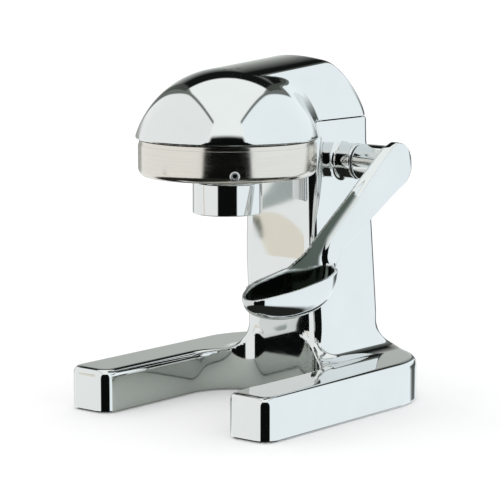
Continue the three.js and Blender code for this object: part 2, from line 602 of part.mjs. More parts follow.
function scoopSolid(shrink) {
  const [a, b, c] = SCOOP_SIZE.map((size) => size - shrink);
  const ball = new THREE.SphereGeometry(1, 28, 16).rotateX(Math.PI / 2).scale(a, b, c);
  return solid(ball.translate(...SCOOP_CENTRE));
}
const rimCut = new THREE.BoxGeometry(90, 200, 60).translate(0, 0, 30 + RIM_RISE);
rimCut.rotateX(THREE.MathUtils.degToRad(RIM_SLOPE)).translate(...SCOOP_CENTRE);
const scoopHollow = scoopSolid(SCOOP_WALL);
const scoop = cut(scoopSolid(0), solid(rimCut));
let lever = cut(join(scoop, arm), scoopHollow);
lever = cut(join(lever, leverHub), leverBore, setScrewHole);
place('lever', lever, chrome);
const setScrew = barZ(2.6, PIVOT_Z - 12.6, PIVOT_Z - SHAFT_RADIUS + 0.6, SET_SCREW_X, PIVOT_Y, 12);
place('lever_set_screw', setScrew, steel);

root.position.set(...ORIGIN).negate();

export default root;
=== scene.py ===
"""Looks of the citrus press: castings, lathe-turned parts, materials, studio light and camera.

Lengths in the shape functions are millimetres in the drawing's own frame: x = 0 is the middle of
the foot, y = 0 the front of the CAD foot and z = 0 the table. built() takes them to the row frame
in metres.
"""
import json
import math

import bpy
import numpy as np
from mathutils import Matrix, Vector


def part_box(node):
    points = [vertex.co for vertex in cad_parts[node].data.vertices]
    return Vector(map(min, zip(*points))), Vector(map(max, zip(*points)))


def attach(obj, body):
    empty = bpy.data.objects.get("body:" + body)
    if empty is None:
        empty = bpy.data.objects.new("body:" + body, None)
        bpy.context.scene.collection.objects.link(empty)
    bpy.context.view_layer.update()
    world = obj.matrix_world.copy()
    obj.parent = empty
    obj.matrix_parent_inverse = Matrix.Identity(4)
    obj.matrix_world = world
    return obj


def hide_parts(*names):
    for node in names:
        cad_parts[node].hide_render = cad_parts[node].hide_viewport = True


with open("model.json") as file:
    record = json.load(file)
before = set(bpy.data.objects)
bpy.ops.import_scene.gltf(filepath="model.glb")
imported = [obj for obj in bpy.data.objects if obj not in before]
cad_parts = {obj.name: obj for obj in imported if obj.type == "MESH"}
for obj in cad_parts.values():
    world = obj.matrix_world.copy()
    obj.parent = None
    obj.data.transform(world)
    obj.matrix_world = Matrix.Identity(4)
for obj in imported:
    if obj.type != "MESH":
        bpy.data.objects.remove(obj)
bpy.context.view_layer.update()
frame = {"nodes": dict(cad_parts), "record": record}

SCENE = bpy.context.scene

body_lo, body_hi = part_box("body_casting")
MM = 0.001
FOOT_HALF = (body_hi[0] - body_lo[0]) / 2 / MM
ORIGIN = np.array([(body_lo[0] + body_hi[0]) / 2, body_lo[1], 0.0])

# ---------------------------------------------------------------- the drawing's dimensions
FOOT_FRONT = -3.5
FOOT_BACK = 216.0
FOOT_TOP = 32.4
FOOT_BOTTOM = 0.4
FOOT_EDGE = 5.5             # rounding of the foot's top edge
ARM_WIDTH = 40.0
ARM_CORNER = 12.0
SLOT_END = 132.0
SLOT_RADIUS = 39.0
SLOT_EDGE = 0.8             # rounding of the slot's edge below the column
BACK_RADIUS = 61.0
CAST_WALL = 4.0
COLUMN_FRONT = 127.5
COLUMN_BACK = 199.5
COLUMN_HALF = 37.5          # half its width at the base
COLUMN_FOOT = FOOT_TOP - 10
COLUMN_FLARE = 21.0         # fillet between column and foot
COLUMN_TOP = 212.0
PIVOT_Y, PIVOT_Z = 162.0, 181.0
BOSS_RADIUS = 13.5
BOSS_END = 51.0
BUSH_HOLE = 9.1
BOWL_Y = 68.3
RING_RADIUS = 65.4
RING_TOP = 201.8
RING_BOTTOM = 175.4
RING_BORE = 56.9
RING_THROAT = 51.6
RING_LEDGE = 180.0          # what the funnel's rim rests on
RING_BACK = 127.2
SPOUT_RADIUS = 25.6
SPOUT_BOTTOM = 147.5
SPOUT_WALL = 1.8
DOME_RADIUS = 70.5
DOME_Z = 183.5
DOME_RIM = 202.4
HEAD_FLOOR = 212.3
HEAD_WALL = 3.0
SPINE_HALF = 34.0
SPINE_BACK = 199.5
SPINE_RISE = math.radians(4.45)
SPINE_ARC_Y, SPINE_ARC_Z, SPINE_ARC = 112.0, 166.0, 99.8
LEVER_X = 84.0              # middle of the arm's thickness
LEVER_HALF = 4.0
EYE_RADIUS = 16.0
WEB_HALF = 1.6
SCOOP_X, SCOOP_Y = 88.0, 31.0
SCOOP_HALF_WIDTH = 18.8
SCOOP_HALF_LENGTH = 46.5
SCOOP_WALL = 3.0


# ------------------------------------------- fields: distance to a surface, negative inside
def hyp(a, b):
    return np.sqrt(a * a + b * b)


def smooth(low, high, value):
    t = np.clip((value - low) / (high - low), 0, 1)
    return t * t * (3 - 2 * t)


def blend_min(a, b, k):
    """Union with a soft fillet about k long."""
    h = np.maximum(k - np.abs(a - b), 0) / k
    return np.minimum(a, b) - h * h * h * k / 6


def blend_max(a, b, k):
    return -blend_min(-a, -b, k)


def round_max(a, b, r):
    """Intersection whose edge has the radius r."""
    return np.minimum(np.maximum(a, b), -r) + hyp(np.maximum(a + r, 0), np.maximum(b + r, 0))


def round_min(a, b, r):
    return -round_max(-a, -b, r)


def rounded_box(px, py, half_x, half_y, r):
    qx = np.abs(px) - half_x + r
    qy = np.abs(py) - half_y + r
    return np.minimum(np.maximum(qx, qy), 0) + hyp(np.maximum(qx, 0), np.maximum(qy, 0)) - r


def bar_x(x, y, z, radius, x0, x1, edge=0.5):
    """A round bar on the shaft's axis."""
    ends = np.abs(x - (x0 + x1) / 2) - (x1 - x0) / 2
    return round_max(hyp(y - PIVOT_Y, z - PIVOT_Z) - radius, ends, edge)


def brick(x, y, z, x_range, y_range, z_range):
    ranges = zip((x, y, z), (x_range, y_range, z_range))
    sides = [np.abs(v - (a + b) / 2) - (b - a) / 2 for v, (a, b) in ranges]
    return np.maximum(np.maximum(sides[0], sides[1]), sides[2])


# ---------------------------------------------------------------- castings
def foot_plan(x, y):
    """The foot seen from above: a U open to the front."""
    middle, half = (FOOT_BACK + FOOT_FRONT) / 2, (FOOT_BACK - FOOT_FRONT) / 2
    corner = np.where(y > middle, BACK_RADIUS, ARM_CORNER)
    outer = rounded_box(x, y - middle, FOOT_HALF, half, corner)
    slot = rounded_box(x, y + 100, FOOT_HALF - ARM_WIDTH, SLOT_END + 100, SLOT_RADIUS)
    return round_max(outer, -slot, ARM_CORNER)


def column_plan(x, y, z):
    """The column seen from above: narrower and less deep the higher it is cut."""
    half = COLUMN_HALF - 3.5 * np.clip((z - 60) / (COLUMN_TOP - 60), 0, 1)
    front = COLUMN_FRONT + 4.5 * (1 - smooth(52, 118, z))
    back = COLUMN_BACK + 10.5 * np.clip((194 - z) / 134, 0, 1) ** 0.85
    middle = (front + back) / 2
    corner = np.where(y < middle, 11.0, 10.5)
    return rounded_box(x, y - middle, half, (back - front) / 2, corner)


def body_field(x, y, z):
    """Foot, column and shaft boss in one hollow casting."""
    plan = foot_plan(x, y)
    column = column_plan(x, y, z)
    flared = round_min(column, z - FOOT_TOP, COLUMN_FLARE)
    below_column = smooth(62, 44, np.abs(x)) * smooth(96, 120, y)
    edge = FOOT_EDGE - (FOOT_EDGE - SLOT_EDGE) * below_column
    solid = np.minimum(round_max(flared, plan, edge), np.maximum(column, COLUMN_FOOT - z))
    solid = round_max(solid, z - COLUMN_TOP, 0.7)
    boss = bar_x(x, y, z, BOSS_RADIUS, 10, BOSS_END, 0.9)
    solid = round_min(solid, boss, 3.5)
    solid = round_max(solid, FOOT_BOTTOM - z, 1.6)
    in_foot = np.maximum(plan + CAST_WALL, z - FOOT_TOP + CAST_WALL)
    in_column = np.maximum(column + CAST_WALL, z - COLUMN_TOP + CAST_WALL)
    hollow = np.minimum(in_foot, np.maximum(in_column, COLUMN_FOOT - z))
    inner_boss = np.minimum(bar_x(x, y, z, 12.5, 22, 40), bar_x(x, y, z, 12, -36, -21))
    hollow = np.maximum(hollow, -inner_boss)
    guide_hole = brick(x, y, z, (-14.3, 14.3), (132, 150), (200, 216))
    hollow = np.minimum(hollow, guide_hole)
    holes = np.minimum(bar_x(x, y, z, BUSH_HOLE, 15, 60), bar_x(x, y, z, BUSH_HOLE, -31.5, -10))
    return np.maximum(solid, -np.minimum(hollow, holes))


def head_outer(x, y, z):
    """The head's outside: a dome at the front that runs into a spine over the column."""
    dy, dz = y - BOWL_Y, z - DOME_Z
    along = dy * math.cos(SPINE_RISE) + dz * math.sin(SPINE_RISE)
    square = x * x + dy * dy + dz * dz
    dome = np.sqrt(square) - DOME_RADIUS
    crown = np.sqrt(np.maximum(square - np.maximum(along, 0) ** 2, 1e-6)) - DOME_RADIUS
    side = np.abs(x) - SPINE_HALF
    arc = hyp(np.maximum(y - SPINE_ARC_Y, 0), np.maximum(z - SPINE_ARC_Z, 0)) - SPINE_ARC
    profile = blend_max(arc, y - SPINE_BACK, 6.0)
    spine = round_max(side, blend_max(profile, crown, 3.0), 11.0)
    on_side = smooth(-8, 8, side - crown) * smooth(2, 26, along)
    return blend_min(dome, spine, 0.02 + 22 * on_side)


def head_field(x, y, z):
    """The head as a shell, with a post for the rack and a boss for the cup inside."""
    outer = head_outer(x, y, z)
    floor = np.maximum(DOME_RIM - z, np.minimum(y - RING_BACK, HEAD_FLOOR - z))
    edge = 0.5 + 2.0 * (1 - smooth(104, 122, y))
    solid = round_max(outer, floor, edge)
    wall = HEAD_WALL + 2.5 * (1 - smooth(205, 216, z))
    solid = np.maximum(solid, -(outer + wall))
    post = brick(x, y, z, (-13, 13), (131.5, 149.5), (224, 258))
    cup_boss = np.maximum(hyp(x, y - BOWL_Y) - 9, 246 - z)
    extra = np.maximum(np.minimum(post, cup_boss), outer + 1.0)
    solid = blend_min(solid, extra, 2.0)
    socket = brick(x, y, z, (-8.2, 8.2), (134.4, 146.3), (210, 250.2))
    bore = np.maximum(hyp(x, y - BOWL_Y) - 2.6, z - 250.5)
    return np.maximum(solid, -np.minimum(socket, bore))


def polygon(y, z, corners):
    """Distance to a closed outline in y and z, negative inside it."""
    distance = np.full(y.shape, 1e9)
    inside = np.zeros(y.shape, bool)
    for (y0, z0), (y1, z1) in zip(corners, corners[1:] + corners[:1]):
        ey, ez = y1 - y0, z1 - z0
        t = np.clip(((y - y0) * ey + (z - z0) * ez) / (ey * ey + ez * ez), 0, 1)
        distance = np.minimum(distance, hyp(y - y0 - t * ey, z - z0 - t * ez))
        inside ^= ((z0 > z) != (z1 > z)) & (y < ey * (z - z0) / (ez if ez else 1e-9) + y0)
    return np.where(inside, -distance, distance)


# outlines of the lever's arm and of its thin web, as [y, z] seen from the side
ARM = [(176.0, 176.0), (172.5, 191.5), (160.0, 197.0), (150.5, 192.5), (122.0, 169.3),
       (108.0, 156.8), (92.0, 144.5), (80.0, 134.5), (72.0, 122.0), (70.0, 102.0), (77.0, 97.0),
       (83.0, 112.0), (94.6, 125.6), (130.0, 144.5), (162.5, 162.5), (171.0, 167.5)]
WEB = [(150.5, 192.0), (122.0, 172.5), (105.0, 160.4), (78.6, 142.4), (66.0, 133.5), (58.0, 124.5),
       (48.5, 115.6), (36.0, 113.4), (21.0, 110.6), (4.0, 107.5), (4.0, 100.0), (60.0, 96.0),
       (76.0, 104.0), (90.0, 130.0), (130.0, 160.0)]


def rim_height(x, y):
    """Height of the scoop's rim, which tilts forward and outward."""
    return 104.8 + 0.128 * y + 0.11 * (106 - x) * smooth(-22, 12, y)


def scoop(x, y, z, inset):
    """The scoop's bowl as a blunt egg below its rim, made smaller all round by inset."""
    t = (y - SCOOP_Y) / (SCOOP_HALF_LENGTH - inset)
    power = np.where(t > 0, 2.9, 2.1)
    flat = np.abs(t) ** power
    u = np.abs(x - SCOOP_X) / (SCOOP_HALF_WIDTH - inset)
    depth = (26.0 + 4.0 * np.clip(t, -1, 1)) - inset * 1.05
    s = np.abs(np.minimum(z - rim_height(x, y), 0)) / depth
    return ((u ** 2.2 + flat + s ** 2.2) ** (1 / 2.2) - 1) * 17.0


def web_middle(y):
    return 71.4 + 9.8 * smooth(44, 66, y)


def lever_field(x, y, z):
    """Hub, flat arm, web and scoop in one casting."""
    arm = round_max(polygon(y, z, ARM), np.abs(x - LEVER_X) - LEVER_HALF, 2.2)
    hub = bar_x(x, y, z, BOSS_RADIUS, BOSS_END + 1.4, LEVER_X, 1.2)
    eye = bar_x(x, y, z, EYE_RADIUS, LEVER_X - LEVER_HALF, LEVER_X + LEVER_HALF, 2.2)
    arm = blend_min(arm, eye, 5.0)
    shell = round_max(scoop(x, y, z, 0.0), z - rim_height(x, y), 1.2)
    web_x = web_middle(y)
    web = round_max(polygon(y, z, WEB), (np.abs(x - web_x) - WEB_HALF) * 0.85, 1.2)
    solid = blend_min(shell, web, 4.0)
    solid = blend_min(solid, arm, 9.0)
    hollow = np.maximum(scoop(x, y, z, SCOOP_WALL), 84.0 - z)
    hollow = blend_max(hollow, web_x + WEB_HALF - x, 8.0)
    solid = blend_max(solid, -hollow, 2.5)
    solid = round_min(solid, hub, 1.5)
    bore = bar_x(x, y, z, 6.1, 40, 77, 0.3)
    screw_hole = np.maximum(hyp(x - 64, y - PIVOT_Y) - 2.8, z - PIVOT_Z + 4)
    return np.maximum(solid, -np.minimum(bore, screw_hole))


# ---------------------------------------------------------------- meshes
def skin(field, low, high, step):
    """Closed quads on a field's zero surface, with each point moved onto it, and the normals there."""
    axes = [np.arange(a, b + step, step) for a, b in zip(low, high)]
    shape = tuple(len(a) for a in axes)
    value = np.empty(shape)
    for i in range(0, shape[0], 16):
        grid = np.meshgrid(axes[0][i:i + 16], axes[1], axes[2], indexing="ij")
        value[i:i + 16] = field(*grid)
    value[value == 0] = 1e-9
    inside = value < 0
    cells = tuple(n - 1 for n in shape)
    count = np.zeros(cells, np.int16)
    for dx in (0, 1):
        for dy in (0, 1):
            for dz in (0, 1):
                count += inside[dx:dx + cells[0], dy:dy + cells[1], dz:dz + cells[2]]
    active = np.argwhere((count > 0) & (count < 8))
    index = np.full(cells, -1, np.int64)
    index[tuple(active.T)] = np.arange(len(active))
    total = np.zeros((len(active), 3))
    crossings = np.zeros(len(active))
    corners = [(a, b, c) for a in (0, 1) for b in (0, 1) for c in (0, 1)]
    for start in corners:
        for axis in range(3):
            if start[axis]:
                continue
            end = list(start)
            end[axis] = 1
            va = value[tuple((active + start).T)]
            vb = value[tuple((active + end).T)]
            crossed = (va < 0) != (vb < 0)
            t = np.where(crossed, va / np.where(crossed, va - vb, 1), 0)
            point = np.tile(np.array(start, float), (len(active), 1))
            point[:, axis] = t
            total += np.where(crossed[:, None], point, 0)
            crossings += crossed
    points = (active + total / crossings[:, None]) * step + np.array(low)
    faces = []
    for axis in range(3):
        a, b = (axis + 1) % 3, (axis + 2) % 3
        first = np.take(inside, range(shape[axis] - 1), axis)
        second = np.take(inside, range(1, shape[axis]), axis)
        edges = np.argwhere(first != second)
        in_a = (edges[:, a] > 0) & (edges[:, a] < cells[a])
        in_b = (edges[:, b] > 0) & (edges[:, b] < cells[b])
        edges = edges[in_a & in_b]
        outward = first[tuple(edges.T)]
        quad = []
        for da, db in ((1, 1), (0, 1), (0, 0), (1, 0)):
            cell = edges.copy()
            cell[:, a] -= da
            cell[:, b] -= db
            quad.append(index[tuple(cell.T)])
        quad = np.stack(quad, 1)
        faces.append(np.where(outward[:, None], quad, quad[:, ::-1]))
    faces = np.concatenate(faces)

    def slope(p):
        h = 0.05
        rows = []
        for axis in range(3):
            off = np.zeros(3)
            off[axis] = h
            rows.append((field(*(p + off).T) - field(*(p - off).T)) / (2 * h))
        return np.stack(rows, 1)

    for _ in range(5):
        g = slope(points)
        size = np.maximum((g * g).sum(1), 0.05)
        move = -(field(*points.T) / size)[:, None] * g
        length = np.linalg.norm(move, axis=1, keepdims=True)
        points += move * np.minimum(1, 0.5 * step / np.maximum(length, 1e-9))
    g = slope(points)
    normals = g / np.maximum(np.linalg.norm(g, axis=1, keepdims=True), 1e-9)
    return points, faces, normals


def built(name, points, faces, body, material, slot, replaced=(), normals=None, angle=None):
    """A piece from points in the drawing's millimetres, riding on a body."""
    mesh = bpy.data.meshes.new(name)
    metres = (np.asarray(points) * MM + ORIGIN).tolist()
    mesh.from_pydata(metres, [], [list(map(int, f)) for f in faces])
    mesh.validate()
    mesh.polygons.foreach_set("use_smooth", [True] * len(mesh.polygons))
    if angle is not None:
        mesh.set_sharp_from_angle(angle=math.radians(angle))
    if normals is not None and len(mesh.vertices) == len(points):
        mesh.normals_split_custom_set_from_vertices(normals.tolist())
    piece = bpy.data.objects.new(name, mesh)
    SCENE.collection.objects.link(piece)
    mesh.materials.append(material)
    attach(piece, body)
    if replaced:
        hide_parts(*replaced)
    return piece


def lathe(profile, segments, centre=(0.0, BOWL_Y, 0.0), turn=None, swell=None):
    """A closed [radius, height] profile turned about an axis through centre.

    swell gives each row's scale on the radius, by angle.
    """
    rows = len(profile)
    angles = np.linspace(0, 2 * np.pi, segments, endpoint=False)
    points = []
    for k, (r, h) in enumerate(profile):
        scale = np.ones(segments) if swell is None else swell(k, r, h, angles)
        across, deep = r * scale * np.cos(angles), r * scale * np.sin(angles)
        points.append(np.stack([across, deep, np.full(segments, h)], 1))
    points = np.concatenate(points)
    if turn is not None:
        points = points @ np.array(turn.to_3x3()).T
    points = points + np.array(centre)
    faces = []
    for k in range(rows):
        n = (k + 1) % rows
        for i in range(segments):
            j = (i + 1) % segments
            faces.append((k * segments + i, k * segments + j, n * segments + j, n * segments + i))
    return points, faces


def filleted(corners, steps=5):
    """A closed outline of [a, b, radius] corners with each corner rounded."""
    out = []
    count = len(corners)
    for i, (a, b, radius) in enumerate(corners):
        here = np.array([a, b], float)
        if radius <= 0:
            out.append(tuple(here))
            continue
        before = np.array(corners[i - 1][:2], float) - here
        after = np.array(corners[(i + 1) % count][:2], float) - here
        before /= np.linalg.norm(before)
        after /= np.linalg.norm(after)
        half = math.acos(np.clip(before @ after, -1, 1)) / 2
        reach = radius / math.tan(half)
        start, end = here + before * reach, here + after * reach
        middle = (before + after) / np.linalg.norm(before + after)
        centre = here + middle * radius / math.sin(half)
        for k in range(steps + 1):
            p = start + (end - start) * k / steps - centre
            out.append(tuple(centre + p / np.linalg.norm(p) * radius))
    return out


# ---------------------------------------------------------------- materials
def material(name, colour, rough, metallic=1.0, spread=0.04, grain=(40, 40, 40), bump=0.0,
             rough_spread=0.3):
    """A procedural finish: colour and roughness wander with stretched noise, over a fine bump."""
    made = bpy.data.materials.new(name)
    made.use_nodes = True
    tree = made.node_tree
    shader = tree.nodes["Principled BSDF"]
    shader.inputs["Metallic"].default_value = metallic
    place = tree.nodes.new("ShaderNodeTexCoord")
    stretch = tree.nodes.new("ShaderNodeMapping")
    stretch.inputs["Scale"].default_value = grain
    tree.links.new(place.outputs["Object"], stretch.inputs["Vector"])
    noise = tree.nodes.new("ShaderNodeTexNoise")
    noise.inputs["Scale"].default_value = 1.0
    noise.inputs["Detail"].default_value = 5.0
    noise.inputs["Roughness"].default_value = 0.6
    tree.links.new(stretch.outputs["Vector"], noise.inputs["Vector"])
    tint = tree.nodes.new("ShaderNodeValToRGB")
    tint.color_ramp.elements[0].position = 0.3
    tint.color_ramp.elements[1].position = 0.7
    dark = [c * (1 - spread) for c in colour]
    light = [min(c * (1 + spread), 1.0) for c in colour]
    tint.color_ramp.elements[0].color = (*dark, 1)
    tint.color_ramp.elements[1].color = (*light, 1)
    tree.links.new(noise.outputs["Fac"], tint.inputs["Fac"])
    tree.links.new(tint.outputs["Color"], shader.inputs["Base Color"])
    spot = tree.nodes.new("ShaderNodeMapRange")
    spot.inputs["From Min"].default_value = 0.3
    spot.inputs["From Max"].default_value = 0.7
    spot.inputs["To Min"].default_value = rough * (1 - rough_spread)
    spot.inputs["To Max"].default_value = rough * (1 + rough_spread)
    tree.links.new(noise.outputs["Fac"], spot.inputs["Value"])
    tree.links.new(spot.outputs["Result"], shader.inputs["Roughness"])
    if bump:
        relief = tree.nodes.new("ShaderNodeBump")
        relief.inputs["Strength"].default_value = bump
        relief.inputs["Distance"].default_value = 0.0004
        tree.links.new(noise.outputs["Fac"], relief.inputs["Height"])
        tree.links.new(relief.outputs["Normal"], shader.inputs["Normal"])
    return made


CHROME = material("chrome_plate", (0.735, 0.745, 0.74), 0.045, spread=0.02, grain=(22, 22, 22),
                  rough_spread=0.5)
SPOUT = material("spout_chrome", (0.73, 0.735, 0.73), 0.05, spread=0.02, grain=(30, 30, 8),
                 rough_spread=0.4)
SATIN = material("satin_ring", (0.70, 0.66, 0.605), 0.14, spread=0.03, grain=(30, 30, 900),
                 bump=0.03)
STAINLESS = material("satin_stainless", (0.78, 0.785, 0.79), 0.24, spread=0.05, grain=(60, 60, 700),
                     bump=0.05)
ALUMINIUM = material("tumbled_aluminium", (0.76, 0.77, 0.785), 0.36, spread=0.06,
                     grain=(260, 260, 260), bump=0.2)
STEEL = material("machined_steel", (0.62, 0.62, 0.63), 0.33, spread=0.08, grain=(500, 90, 90),
                 bump=0.08)
BRONZE = material("sintered_bronze", (0.60, 0.42, 0.20), 0.38, spread=0.12, grain=(700, 700, 700),
                  bump=0.2)
RUBBER = material("moulded_rubber", (0.022, 0.022, 0.024), 0.62, metallic=0.0, spread=0.25,
                  grain=(350, 350, 350), bump=0.3, rough_spread=0.15)
NYLON = material("black_nylon", (0.03, 0.03, 0.032), 0.42, metallic=0.0, spread=0.2,
                 grain=(220, 220, 220), bump=0.12, rough_spread=0.2)


def paint_shade_and_dull_finish(made, colour, rough):
    """Mixes a dark colour into a finish as painted shade, with a duller roughness, where the mesh's
    recess value says so.
    """
    tree = made.node_tree
    shader = tree.nodes["Principled BSDF"]
    where = tree.nodes.new("ShaderNodeAttribute")
    where.attribute_name = "recess_shade"
    for name, data_type, value, first in (
            ("Base Color", "RGBA", (*colour, 1), 6), ("Roughness", "FLOAT", rough, 2)):
        source = shader.inputs[name].links[0].from_socket
        mix = tree.nodes.new("ShaderNodeMix")
        mix.data_type = data_type
        tree.links.new(where.outputs["Fac"], mix.inputs[0])
        tree.links.new(source, mix.inputs[first])
        mix.inputs[first + 1].default_value = value
        tree.links.new(mix.outputs[2 if data_type == "RGBA" else 0], shader.inputs[name])


# painted shade: this dark greenish colour stands in for the shade in the lever's web and bowl; the
# higher roughness is a duller finish there
paint_shade_and_dull_finish(CHROME, (0.085, 0.10, 0.085), 0.16)


# ---------------------------------------------------------------- the castings as pieces
def recess_shade(points, normals):
    """1 where the painted shade and the duller finish go, on the lever's web and inside its bowl,
    fading to 0 on the polished faces.
    """
    x, y, z = points.T
    over_rim = z - rim_height(x, y)
    web = smooth(0.0, 2.5, polygon(y, z, ARM)) * smooth(0.1, 0.35, normals[:, 0])
    web = web * (y < 112) * (x < 87) * smooth(-1.0, 0.5, over_rim) * smooth(44.0, 50.0, y)
    bowl = smooth(1.0, -1.0, scoop(x, y, z, SCOOP_WALL / 2)) * smooth(0.5, -1.0, over_rim) * (y < 75)
    return np.maximum(web, bowl)


for name, node, field, low, high, step, body in (
        ("body_shell", "body_casting", body_field, (-99, -7, -2), (99, 219, 215), 1.6, "frame"),
        ("head_shell", "press_head", head_field, (-74, -6, 200), (74, 203, 264), 1.7, "head"),
        ("lever_casting", "lever", lever_field, (49, -23, 79), (111, 181, 200), 1.2, "lever")):
    points, faces, normals = skin(field, low, high, step)
    piece = built(name, points, faces, body, CHROME, "chrome", [node], normals)
    # how far the painted shade goes at each point: only the lever has any
    shade = piece.data.attributes.new("recess_shade", "FLOAT", "POINT")
    painted_shade = recess_shade(points, normals) if name == "lever_casting" else np.zeros(len(points))
    shade.data.foreach_set("value", painted_shade.astype(np.float32))

# ---------------------------------------------------------------- bowl ring, funnel, strainer, cone
ring_profile = filleted([
    (RING_BORE, RING_LEDGE, 0), (RING_THROAT, RING_LEDGE, 0), (RING_THROAT, RING_BOTTOM, 0.8),
    (RING_RADIUS, RING_BOTTOM, 6.0),
    (RING_RADIUS, 198.9, 0.2), (RING_RADIUS - 0.7, 198.4, 0.2), (RING_RADIUS - 0.7, RING_TOP, 0.5),
    (RING_BORE, RING_TOP, 0.6)], 6)
ring_points, ring_faces = lathe(ring_profile, 220)
ring_points[:, 1] = np.minimum(ring_points[:, 1], RING_BACK)
built("bowl_ring", ring_points, ring_faces, "frame", SATIN, "satin_ring", ["bowl_holder"], angle=35)

spout_profile = filleted([
    (56.6, 180.3, 0.2), (56.6, 187.0, 0.5), (49.3, 187.0, 0.5), (49.3, 179.0, 2.0),
    (SPOUT_RADIUS - SPOUT_WALL, 173.0, 3.0), (SPOUT_RADIUS - SPOUT_WALL, SPOUT_BOTTOM, 0.6),
    (SPOUT_RADIUS, SPOUT_BOTTOM, 0.8), (SPOUT_RADIUS, 171.0, 2.0), (51.3, 177.0, 1.0),
    (51.3, 180.3, 0)], 4)
spout_points, spout_faces = lathe(spout_profile, 180)
built("funnel_and_spout", spout_points, spout_faces, "frame", SPOUT, "spout_chrome",
      ["juice_funnel"], angle=35)


def strainer_mesh():
    """A pan whose floor has short radial slots: row slot_row is left open at 3 ways in 8."""
    ways, slot_row = 192, 3
    radii = [0.6, 20.0, 39.0, 41.0, 49.0, 51.0, 54.0, 55.9, 56.4, 56.4]
    heights = [187.9, 187.9, 187.9, 187.9, 187.9, 187.9, 187.9, 188.3, 189.6, 200.4]
    angles = np.linspace(0, 2 * np.pi, ways, endpoint=False)
    points = [(r * math.cos(a), BOWL_Y + r * math.sin(a), h)
              for r, h in zip(radii, heights) for a in angles]
    faces = []
    for k in range(len(radii) - 1):
        for i in range(ways):
            if k == slot_row and i % 8 < 3:
                continue
            j = (i + 1) % ways
            faces.append((k * ways + i, (k + 1) * ways + i, (k + 1) * ways + j, k * ways + j))
    return points, faces


strainer = built("slotted_strainer", *strainer_mesh(), "frame", STAINLESS, "stainless",
                 ["strainer"], angle=40)
thick = strainer.modifiers.new("thickness", "SOLIDIFY")
thick.thickness = 0.9 * MM
thick.offset = 0.0

cone_profile = [(0.4, 189.3), (36.0, 189.3), (36.0, 192.0)]
for k in range(1, 27):
    turn = math.pi / 2 * k / 26
    radius = 33.2 * max(math.cos(turn), 0.0) ** 0.9
    cone_profile.append((max(radius, 0.4), 192.3 + 31.5 * math.sin(turn)))


def cone_ridges(row, r, h, angles):
    """Eight ridges above the flange, fading out at the tip."""
    if row < 3:
        return np.ones(len(angles))
    depth = 0.13 * min((h - 192.0) / 4, 1) * min((224.3 - h) / 3, 1)
    return 1 - depth * (1 - np.abs(np.cos(angles * 4)) ** 0.8)


cone_points, cone_faces = lathe(cone_profile, 160, swell=cone_ridges)
built("ribbed_cone", cone_points, cone_faces, "frame", STAINLESS, "stainless",
      ["reamer_cone"], angle=40)

# ---------------------------------------------------------------- press cup with ribs inside
cup_profile = []
for k in range(25):
    turn = math.radians(3 + 87 * (1 - k / 24))
    cup_profile.append((max(40.0 * math.cos(turn), 2.7), 207.4 + 31.6 * math.sin(turn)))
cup_profile += [(40.6, 207.0), (42.6, 207.0)]
for k in range(1, 23):
    turn = math.radians(78 * k / 22)
    cup_profile.append((43.0 * math.cos(turn), 207.0 + 35.0 * math.sin(turn)))
cup_profile += [(9.0, 242.6), (8.9, 245.6), (2.7, 245.6)]


def cup_ribs(row, r, h, angles):
    """Shallow ribs on the inside only, which is the first 24 rows."""
    if row > 23 or r < 7:
        return np.ones(len(angles))
    return 1 - 0.02 * (0.5 + 0.5 * np.cos(angles * 18)) ** 2


cup_points, cup_faces = lathe(cup_profile, 216, swell=cup_ribs)
built("ribbed_cup", cup_points, cup_faces, "head", ALUMINIUM, "cup_aluminium",
      ["press_cup"], angle=40)

# ---------------------------------------------------------------- small turned pieces
ALONG_X = Matrix.Rotation(math.pi / 2, 4, "Y")
washer_profile = filleted([(6.3, 0.0, 0.1), (12.9, 0.0, 0.25), (12.9, 1.0, 0.25), (6.3, 1.0, 0.1)], 3)
washer_at = (BOSS_END + 0.2, PIVOT_Y, PIVOT_Z)
washer_points, washer_faces = lathe(washer_profile, 96, washer_at, ALONG_X)
built("hub_washer", washer_points, washer_faces, "frame", NYLON, "nylon", ["lever_washer"], angle=40)

foot_profile = filleted([(4.5, 2.0, 0.3), (4.5, 0.0, 0.3), (7.6, 0.0, 0.4), (8.0, 3.7, 0.4),
                         (2.4, 3.7, 0.1), (2.4, 2.0, 0.1)], 3)
for corner, (x, y) in {"front_left": (-79.3, 17), "front_right": (79.3, 17),
                       "rear_left": (-62, 186), "rear_right": (62, 186)}.items():
    points, faces = lathe(foot_profile, 64, (x, y, 0))
    built(f"rubber_foot_{corner}", points, faces, "frame", RUBBER, "rubber",
          [f"foot_{corner}"], angle=40)

SCREW_TURN = math.radians(44.5)     # from straight ahead towards the lever
SCREW_REACH = 64.6
screw_dir = Vector((math.sin(SCREW_TURN), -math.cos(SCREW_TURN), 0))
screw_seat = np.array([SCREW_REACH * screw_dir.x, BOWL_Y + SCREW_REACH * screw_dir.y, 181.2])
screw_profile = filleted([
    (0.3, -10.0, 0), (1.6, -10.0, 0.2), (1.6, 0.0, 0), (3.7, 0.0, 0.1), (3.7, 1.9, 1.4),
    (1.9, 1.9, 0.2), (1.8, 0.6, 0.1), (0.3, 0.5, 0)], 5)


def hex_socket(row, r, h, angles):
    """Six flats on the rows inside the head's socket."""
    if r > 1.95 or h < 0.3:
        return np.ones(len(angles))
    return 1 / np.cos((angles + math.pi / 6) % (math.pi / 3) - math.pi / 6) * 0.93


screw_matrix = screw_dir.to_track_quat("Z", "Y").to_matrix().to_4x4()
points, faces = lathe(screw_profile, 60, screw_seat, screw_matrix, hex_socket)
built("funnel_socket_screw", points, faces, "frame", STEEL, "steel", ["funnel_screw"], angle=35)

